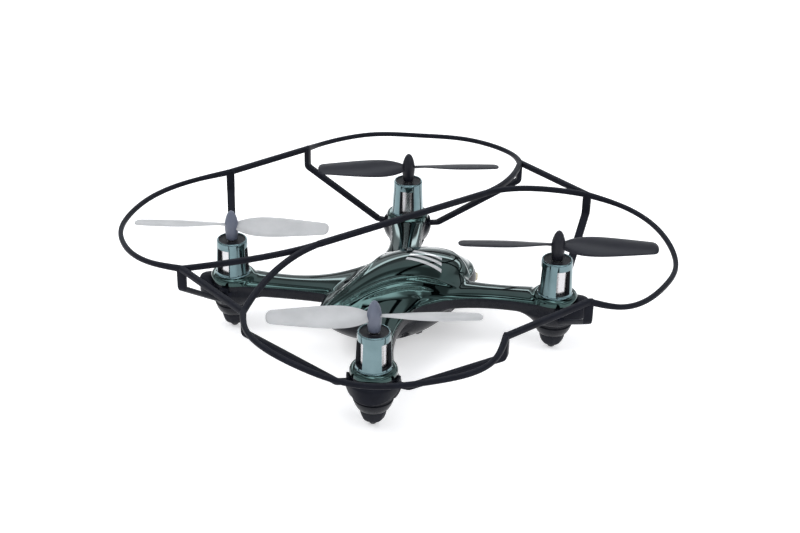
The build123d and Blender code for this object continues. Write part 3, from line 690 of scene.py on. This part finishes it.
def blade(spin):
    """One blade along +X as a closed skin; spin is +1 for one that turns anticlockwise from above."""
    tip = BLADE[-1, 0]
    radii = np.concatenate([np.linspace(BLADE[0, 0], tip - TIP_ROUND, 26),
                            tip - TIP_ROUND + TIP_ROUND * np.sin(np.linspace(0, math.pi / 2, 12))[1:]])
    radii[-1] = tip - 0.02
    fits = [np.polyfit(BLADE[:, 0], BLADE[:, k], 5) for k in (1, 2, 3)]
    chordwise = 0.5 - 0.5 * np.cos(np.linspace(0, math.pi, 11))
    points = []
    for r in radii:
        chord, pitch, thick = (float(np.polyval(fit, r)) for fit in fits)
        past = max(0.0, (r - (tip - TIP_ROUND)) / TIP_ROUND)
        narrowing = max(0.0, 1 - past ** TIP_POWERS[0]) ** TIP_POWERS[1]
        chord, thick = chord * max(narrowing, TIP_CHORD), thick * max(narrowing, TIP_THICKNESS) ** 0.5
        tilt = math.radians(pitch)
        loop = [(t, OVER) for t in chordwise] + [(t, -UNDER) for t in chordwise[::-1][1:-1]]
        for t, share in loop:
            bulge = max(0.0, t * (1 - t))
            lift = CAMBER * chord * bulge + thick * math.sqrt(4 * bulge) * share
            across = spin * (t - 0.5) * chord
            points.append((r, across * math.cos(tilt) - spin * lift * math.sin(tilt),
                           BLADE_Z + spin * across * math.sin(tilt) + lift * math.cos(tilt)))
    return np.array(points), tube_faces(len(radii), 2 * len(chordwise) - 2)


def turned(points, degrees, centre):
    """Points turned about the vertical and moved to a centre."""
    a = math.radians(degrees)
    p = np.asarray(points, float)
    return np.column_stack([centre[0] + p[:, 0] * math.cos(a) - p[:, 1] * math.sin(a),
                            centre[1] + p[:, 0] * math.sin(a) + p[:, 1] * math.cos(a), p[:, 2]])


PROPELLERS = {                        # rest angle, direction of turning, blade and spinner finish
    "front_left": (52.8, -1, pale_blade, pale_hub, "pale_propeller"),
    "front_right": (48.3, 1, pale_blade, pale_hub, "pale_propeller"),
    "rear_left": (49.5, 1, dark_blade, dark_blade, "dark_propeller"),
    "rear_right": (54.6, -1, dark_blade, dark_blade, "dark_propeller"),
}

for name, (sign_x, sign_y) in CORNERS.items():
    centre = (sign_x * MOTOR_XY, sign_y * MOTOR_XY)
    inward = math.degrees(math.atan2(-sign_y, -sign_x))
    cage_points, cage_faces, shaded_faces = tower(centre, inward)
    cage = piece(f"{name}_tower", cage_points, cage_faces, plated_tower_sheen, slot="plated_shell")
    # painted shade: the cage's inside, window jambs and cap take the near black finish
    cage.data.materials.append(tower_shade_paint)
    for k in shaded_faces:
        cage.data.polygons[k].material_index = 1
    soften(cage, 0.09)
    weld(piece(f"{name}_pod", *lathe(POD, centre), black_gloss, slot="black_shell", smooth_angle=35))
    foot = piece(f"{name}_foot_skin", *lathe(FOOT, centre, 96, foot_ripple), rubber, slot="foot_rubber",
                 smooth_angle=40)
    weld(foot)
    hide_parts(f"{name}_foot")
    angle, spin, blade_finish, hub_finish, slot = PROPELLERS[name]
    one_points, one_faces = blade(spin)
    blades = [(turned(one_points, angle + half_turn, centre), one_faces) for half_turn in (0, 180)]
    rotor = piece(f"{name}_rotor_skin", *joined([*blades, lathe(HUB, centre, 48)]), blade_finish,
                  body=f"{name}_rotor", slot=slot, smooth_angle=42)
    rotor.data.materials.append(hub_finish)
    for k, face in enumerate(rotor.data.polygons):
        face.material_index = 0 if k < 2 * len(one_faces) else 1
    weld(rotor)
    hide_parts(f"{name}_propeller")

# ---------------------------------------------------------------- guard
# the ring on the left side, lobe by lobe, from the side junction round to the end junction
NOSE_LOBE = np.array([(60.8, -13.6, 32.9), (65.1, -20.9, 31.3), (63.1, -40.4, 31.1), (54.6, -53.8, 31.0),
                      (41.2, -62.3, 32.8), (21.8, -64.3, 34.7), (14.4, -60.0, 34.8)])
TAIL_LOBE = np.array([(60.8, 15.2, 32.9), (65.1, 22.6, 30.7), (63.1, 42.0, 29.9), (54.6, 55.4, 29.0),
                      (41.2, 63.9, 30.0), (21.8, 65.9, 30.9), (14.4, 61.6, 32.2)])
BAR_NOSE, BAR_TAIL = np.array((0, -25.1, 37.3)), np.array((0, 33.9, 35.1))
FORK_POWER, FORK_DROP_POWER = 1.78, 2.0
LEG_DROP, LEG_FOOT_Z = 5.9, 13.1
CLIP_LOW, CLIP_HIGH, CLIP_IN, CLIP_OUT = 11.4, 14.1, 6.25, 7.1
CLIP_HALF_ANGLE = 98
NOSE_REACH, NOSE_RISE, NOSE_SAG = 2.6, 1.5, 0.2      # how far a clip's nose swells out, up and down
NOSE_HALF_ANGLE, NOSE_POWER = 37, 2.2
LEG_SINK, LEG_ELBOW = 0.7, 2.4        # a leg starts this deep in the clip and bends this far outside it
LEG_OVERRUN, LEG_BEND = 0.55, 1.5     # its reach up into the ring, and the radius of its bends
LEG_SCALES = ((0, 0.25, 0.6, 1), (0.84, 0.86, 1.0, 1.04))      # share of the leg's length, scale there
TAB_RADIUS, TAB_Z, TAB_HALF_ANGLE = 6.68, 14.2, 11
BAR_OVERRUN = 0.7                     # the bar runs this far into its forks


def spline(points, count):
    """Natural cubic spline through points, evenly spaced along its chord length."""
    p = np.asarray(points, float)
    t = np.concatenate([[0], np.cumsum(np.linalg.norm(np.diff(p, axis=0), axis=1))])
    h = np.diff(t)
    n = len(p)
    rows, right = np.zeros((n, n)), np.zeros((n, 3))
    rows[0, 0] = rows[-1, -1] = 1
    for i in range(1, n - 1):
        rows[i, i - 1:i + 2] = h[i - 1], 2 * (h[i - 1] + h[i]), h[i]
        right[i] = 6 * ((p[i + 1] - p[i]) / h[i] - (p[i] - p[i - 1]) / h[i - 1])
    bend = np.linalg.solve(rows, right)
    out = []
    for u in np.linspace(0, t[-1], count):
        i = min(int(np.searchsorted(t, u, side="right")) - 1, n - 2)
        a, b = (t[i + 1] - u) / h[i], (u - t[i]) / h[i]
        out.append(a * p[i] + b * p[i + 1] + ((a**3 - a) * bend[i] + (b**3 - b) * bend[i + 1]) * h[i]**2 / 6)
    return np.array(out)


def thinning(count, thick, thin, share=0.12):
    """Scales that start thick at both ends of a wire and thin down over a share of its length."""
    t = np.linspace(0, 1, count)
    near_end = np.maximum(1 - t / share, 1 - (1 - t) / share).clip(0, 1)
    return thin + (thick - thin) * near_end * near_end * (3 - 2 * near_end)


# sections as (width, height, corner radius)
LOBE = rounded_section(1.4, 1.3, 0.45)
STRAIGHT = rounded_section(1.75, 1.6, 0.5)
FORK = rounded_section(1.55, 1.5, 0.45)
BAR = rounded_section(1.7, 1.65, 0.5)
LEG = rounded_section(1.45, 2.35, 0.4)
TAB = rounded_section(0.85, 1.9, 0.25)
LOBE_STEPS, STRAIGHT_STEPS, BAR_STEPS, FORK_STEPS = 72, 14, 24, 30
LOBE_SCALES = thinning(LOBE_STEPS, 1.22, 1.0)

wires = []
for sign in (1, -1):
    for lobe in (NOSE_LOBE, TAIL_LOBE):
        wires.append(sweep(spline(lobe * (sign, 1, 1), LOBE_STEPS), LOBE, scales=LOBE_SCALES))
    wires.append(sweep(np.linspace(NOSE_LOBE[0], TAIL_LOBE[0], STRAIGHT_STEPS) * (sign, 1, 1), STRAIGHT))
for lobe in (NOSE_LOBE, TAIL_LOBE):
    wires.append(sweep(np.linspace(lobe[-1] * (-1, 1, 1), lobe[-1], STRAIGHT_STEPS), STRAIGHT))
overrun = BAR_OVERRUN * (BAR_TAIL - BAR_NOSE) / np.linalg.norm(BAR_TAIL - BAR_NOSE)
wires.append(sweep(np.linspace(BAR_NOSE - overrun, BAR_TAIL + overrun, BAR_STEPS), BAR))
for start, joint in ((BAR_NOSE, NOSE_LOBE[-1]), (BAR_TAIL, TAIL_LOBE[-1])):
    for side in (-1, 1):
        fork = [(side * joint[0] * t ** FORK_POWER, start[1] + (joint[1] - start[1]) * t,
                 start[2] + (joint[2] - start[2]) * t ** FORK_DROP_POWER)
                for t in np.linspace(0, 1, FORK_STEPS)]
        wires.append(sweep(fork, FORK))


def collar(centre, facing, steps=72):
    """Clip round a pod's outer side: a band that swells into a rounded nose in the facing direction."""
    points = []
    for a in np.linspace(-CLIP_HALF_ANGLE, CLIP_HALF_ANGLE, steps + 1):
        swell = math.exp(-(abs(a) / NOSE_HALF_ANGLE) ** NOSE_POWER)
        outer, top = CLIP_OUT + NOSE_REACH * swell, CLIP_HIGH + NOSE_RISE * swell
        low = CLIP_LOW - NOSE_SAG * swell
        loop = [(CLIP_IN, low + 0.3), (CLIP_IN + 0.25, low), (outer - 0.45, low), (outer - 0.12, low + 0.12),
                (outer, low + 0.45), (outer, top - 0.55), (outer - 0.15, top - 0.2), (outer - 0.5, top),
                (CLIP_IN + 0.25, top + 0.25 * swell), (CLIP_IN, top)]
        turn = facing + math.radians(a)
        points += [(centre[0] + r * math.cos(turn), centre[1] + r * math.sin(turn), z) for r, z in loop]
    return np.array(points), tube_faces(steps + 1, len(loop))


for sign_x, sign_y in CORNERS.values():
    pod_xy = np.array((sign_x * MOTOR_XY, sign_y * MOTOR_XY))
    lobe = NOSE_LOBE if sign_y < 0 else TAIL_LOBE
    for joint in (lobe[0], lobe[-1]):
        outward = np.array((sign_x * joint[0], joint[1])) - pod_xy
        reach = float(np.linalg.norm(outward))
        outward /= reach
        leg = [(CLIP_OUT - LEG_SINK, LEG_FOOT_Z), (CLIP_OUT + LEG_ELBOW, LEG_FOOT_Z),
               (reach, joint[2] - LEG_DROP), (reach, joint[2] + LEG_OVERRUN)]
        path = filleted([(*(pod_xy + outward * r), z) for r, z in leg], LEG_BEND)
        # a flat strip, broader at its upright end
        scales = np.interp(np.linspace(0, 1, len(path)), *LEG_SCALES)
        wires.append(sweep(path, LEG, up=(-outward[1], outward[0], 0), scales=scales))
        # small tab that stands on the clip at the leg's root
        middle = math.atan2(outward[1], outward[0])
        tab = [(*(pod_xy + TAB_RADIUS * np.array((math.cos(middle + a), math.sin(middle + a)))), TAB_Z)
               for a in np.radians(np.linspace(-TAB_HALF_ANGLE, TAB_HALF_ANGLE, 5))]
        wires.append(sweep(tab, TAB))
    wires.append(collar(pod_xy, math.atan2(sign_y, sign_x)))
guard = piece("guard_frame", *joined(wires), guard_black, slot="guard_black", smooth_angle=50)
weld(guard)
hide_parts("guard")

# ---------------------------------------------------------------- CAD nodes that stay
# each comes with one material that is named after its slot in the record
for name, made in nodes.items():
    if made.hide_render:
        continue
    cad_slot = made.data.materials[0].name.split(".")[0]
    if cad_slot not in BY_SLOT:
        raise RuntimeError(f"no finish for {name} ({cad_slot})")
    made.data.materials.clear()
    made.data.materials.append(BY_SLOT[cad_slot])

# ---------------------------------------------------------------- floor, light, camera
FLOOR_HALF, FLOOR_Z = 4.0, -0.0001    # metres; the feet stand just clear of it
floor_shape = bmesh.new()
bmesh.ops.create_grid(floor_shape, x_segments=4, y_segments=4, size=FLOOR_HALF)
floor_mesh = bpy.data.meshes.new("floor")
floor_shape.to_mesh(floor_mesh)
floor_shape.free()
floor = bpy.data.objects.new("floor", floor_mesh)
bpy.context.scene.collection.objects.link(floor)
floor.location.z = FLOOR_Z
floor_mesh.materials.append(finish(
    "lit_paper_floor", (0.86, 0.86, 0.86), (0.89, 0.89, 0.89), (0.7, 0.85), 1.5, 2.0,
    mottle=60, Specular_IOR_Level=0.1, Emission_Color=(1.0, 1.0, 1.0, 1.0), Emission_Strength=0.42))

# Soft white all round for the diffuse light. The plating mirrors a studio of dark walls and bright strips,
# as bands by height that wander a little: (height of the mirrored ray from -1 to 1, brightness there).
SKY_BANDS = [
    (-0.20, 0.90), (0.02, 0.90), (0.13, 0.80), (0.17, 0.25), (0.22, 0.30), (0.27, 0.85), (0.365, 0.90),
    (0.39, 4.50), (0.415, 4.50), (0.435, 0.22), (0.49, 0.30), (0.55, 0.80), (0.67, 0.95), (0.71, 0.28),
    (0.76, 0.30), (0.81, 0.90), (0.865, 4.50), (0.89, 4.50), (0.91, 0.25), (0.95, 0.60), (1.0, 0.80)]
BAND_TINT = (0.93, 0.97, 1.0)
SOFT_WHITE, SOFT_STRENGTH = (0.93, 0.95, 1.0, 1), 0.72
WANDER_SCALE, WANDER_DETAIL, WANDER_REACH = 1.5, 0.5, 0.50      # noise that shifts the bands up and down

world = bpy.context.scene.world or bpy.data.worlds.new("studio")
bpy.context.scene.world = world
world.use_nodes = True
sky = world.node_tree
soft_white = sky.nodes["Background"]
soft_white.inputs["Color"].default_value = SOFT_WHITE
soft_white.inputs["Strength"].default_value = SOFT_STRENGTH
direction = node(sky, "ShaderNodeTexCoord").outputs["Generated"]
wander = node(sky, "ShaderNodeTexNoise", [("Vector", direction)], Scale=WANDER_SCALE, Detail=WANDER_DETAIL)
up_part = node(sky, "ShaderNodeSeparateXYZ", [("Vector", direction)])
shift = node(sky, "ShaderNodeMath", [(0, wander.outputs["Fac"])], operation="MULTIPLY_ADD")
shift.inputs[1].default_value, shift.inputs[2].default_value = WANDER_REACH, -WANDER_REACH / 2
shifted = node(sky, "ShaderNodeMath", [(0, up_part.outputs["Z"]), (1, shift.outputs[0])], operation="ADD")
along_bands = node(sky, "ShaderNodeMapRange", [("Value", shifted.outputs[0])])
lowest_band, highest_band = SKY_BANDS[0][0], SKY_BANDS[-1][0]
along_bands.inputs["From Min"].default_value = lowest_band
along_bands.inputs["From Max"].default_value = highest_band
bands = node(sky, "ShaderNodeValToRGB", [("Fac", along_bands.outputs["Result"])])
bands.color_ramp.interpolation = "EASE"
for k, (height, level) in enumerate(SKY_BANDS):
    spot = (height - lowest_band) / (highest_band - lowest_band)
    element = bands.color_ramp.elements[0] if k == 0 else bands.color_ramp.elements.new(min(spot, 0.999))
    element.position = spot
    element.color = (*(level * c for c in BAND_TINT), 1)
mirrored = node(sky, "ShaderNodeBackground", [("Color", bands.outputs["Color"])])
paths = node(sky, "ShaderNodeLightPath")
choice = node(sky, "ShaderNodeMixShader", [(0, paths.outputs["Is Glossy Ray"]), (1, soft_white.outputs[0]),
                                          (2, mirrored.outputs[0])])
sky.links.new(choice.outputs[0], sky.nodes["World Output"].inputs["Surface"])


def direction_to(azimuth, elevation):
    """Unit vector out of the object; azimuth 0 is the nose side, 90 the drone's left."""
    return Vector((math.sin(azimuth) * math.cos(elevation), -math.cos(azimuth) * math.cos(elevation),
                   math.sin(elevation)))


LIT_POINT = Vector((0, 0, 0.015))     # metres


def softbox(name, azimuth, elevation, distance, size, power):
    """A rectangular studio light looking at the object. Distance and size are in metres."""
    lamp = bpy.data.lights.new(name, "AREA")
    lamp.shape = "RECTANGLE"
    lamp.size, lamp.size_y = size
    lamp.energy = power
    made = bpy.data.objects.new(name, lamp)
    bpy.context.scene.collection.objects.link(made)
    made.location = LIT_POINT + distance * direction_to(math.radians(azimuth), math.radians(elevation))
    made.rotation_euler = (LIT_POINT - made.location).to_track_quat("-Z", "Y").to_euler()
    made.visible_glossy = False


softbox("key", -20, 55, 0.9, (0.50, 0.35), 3.2)
softbox("fill", 120, 35, 0.9, (0.30, 0.60), 1.6)
softbox("back", 210, 50, 1.0, (0.90, 0.20), 2.4)

# the camera: its side, height and tilt, and a focal length in pixels of an image of that width
CAMERA_AZIMUTH, CAMERA_ELEVATION, CAMERA_ROLL = 52.164, 28.115, 0.269      # degrees
CAMERA_DISTANCE, CAMERA_TARGET = 0.4203, Vector((0.00395, -0.01782, 0.02948))      # metres
FOCAL_PIXELS, IMAGE_WIDTH, SENSOR_WIDTH, FRAME_SHIFT = 1551.45, 800, 36, (0.06125, 0.0005)
camera_data = bpy.data.cameras.new("camera")
camera = bpy.data.objects.new("camera", camera_data)
bpy.context.scene.collection.objects.link(camera)
back = direction_to(math.radians(CAMERA_AZIMUTH), math.radians(CAMERA_ELEVATION))
camera.matrix_world = (Matrix.Translation(CAMERA_TARGET + CAMERA_DISTANCE * back)
                       @ back.to_track_quat("Z", "Y").to_matrix().to_4x4()
                       @ Matrix.Rotation(math.radians(CAMERA_ROLL), 4, "Z"))
camera_data.sensor_width = SENSOR_WIDTH
camera_data.lens = FOCAL_PIXELS / IMAGE_WIDTH * SENSOR_WIDTH
camera_data.shift_x, camera_data.shift_y = FRAME_SHIFT
camera_data.clip_start = 0.01
bpy.context.scene.camera = camera
bpy.context.scene.view_settings.view_transform = "Standard"
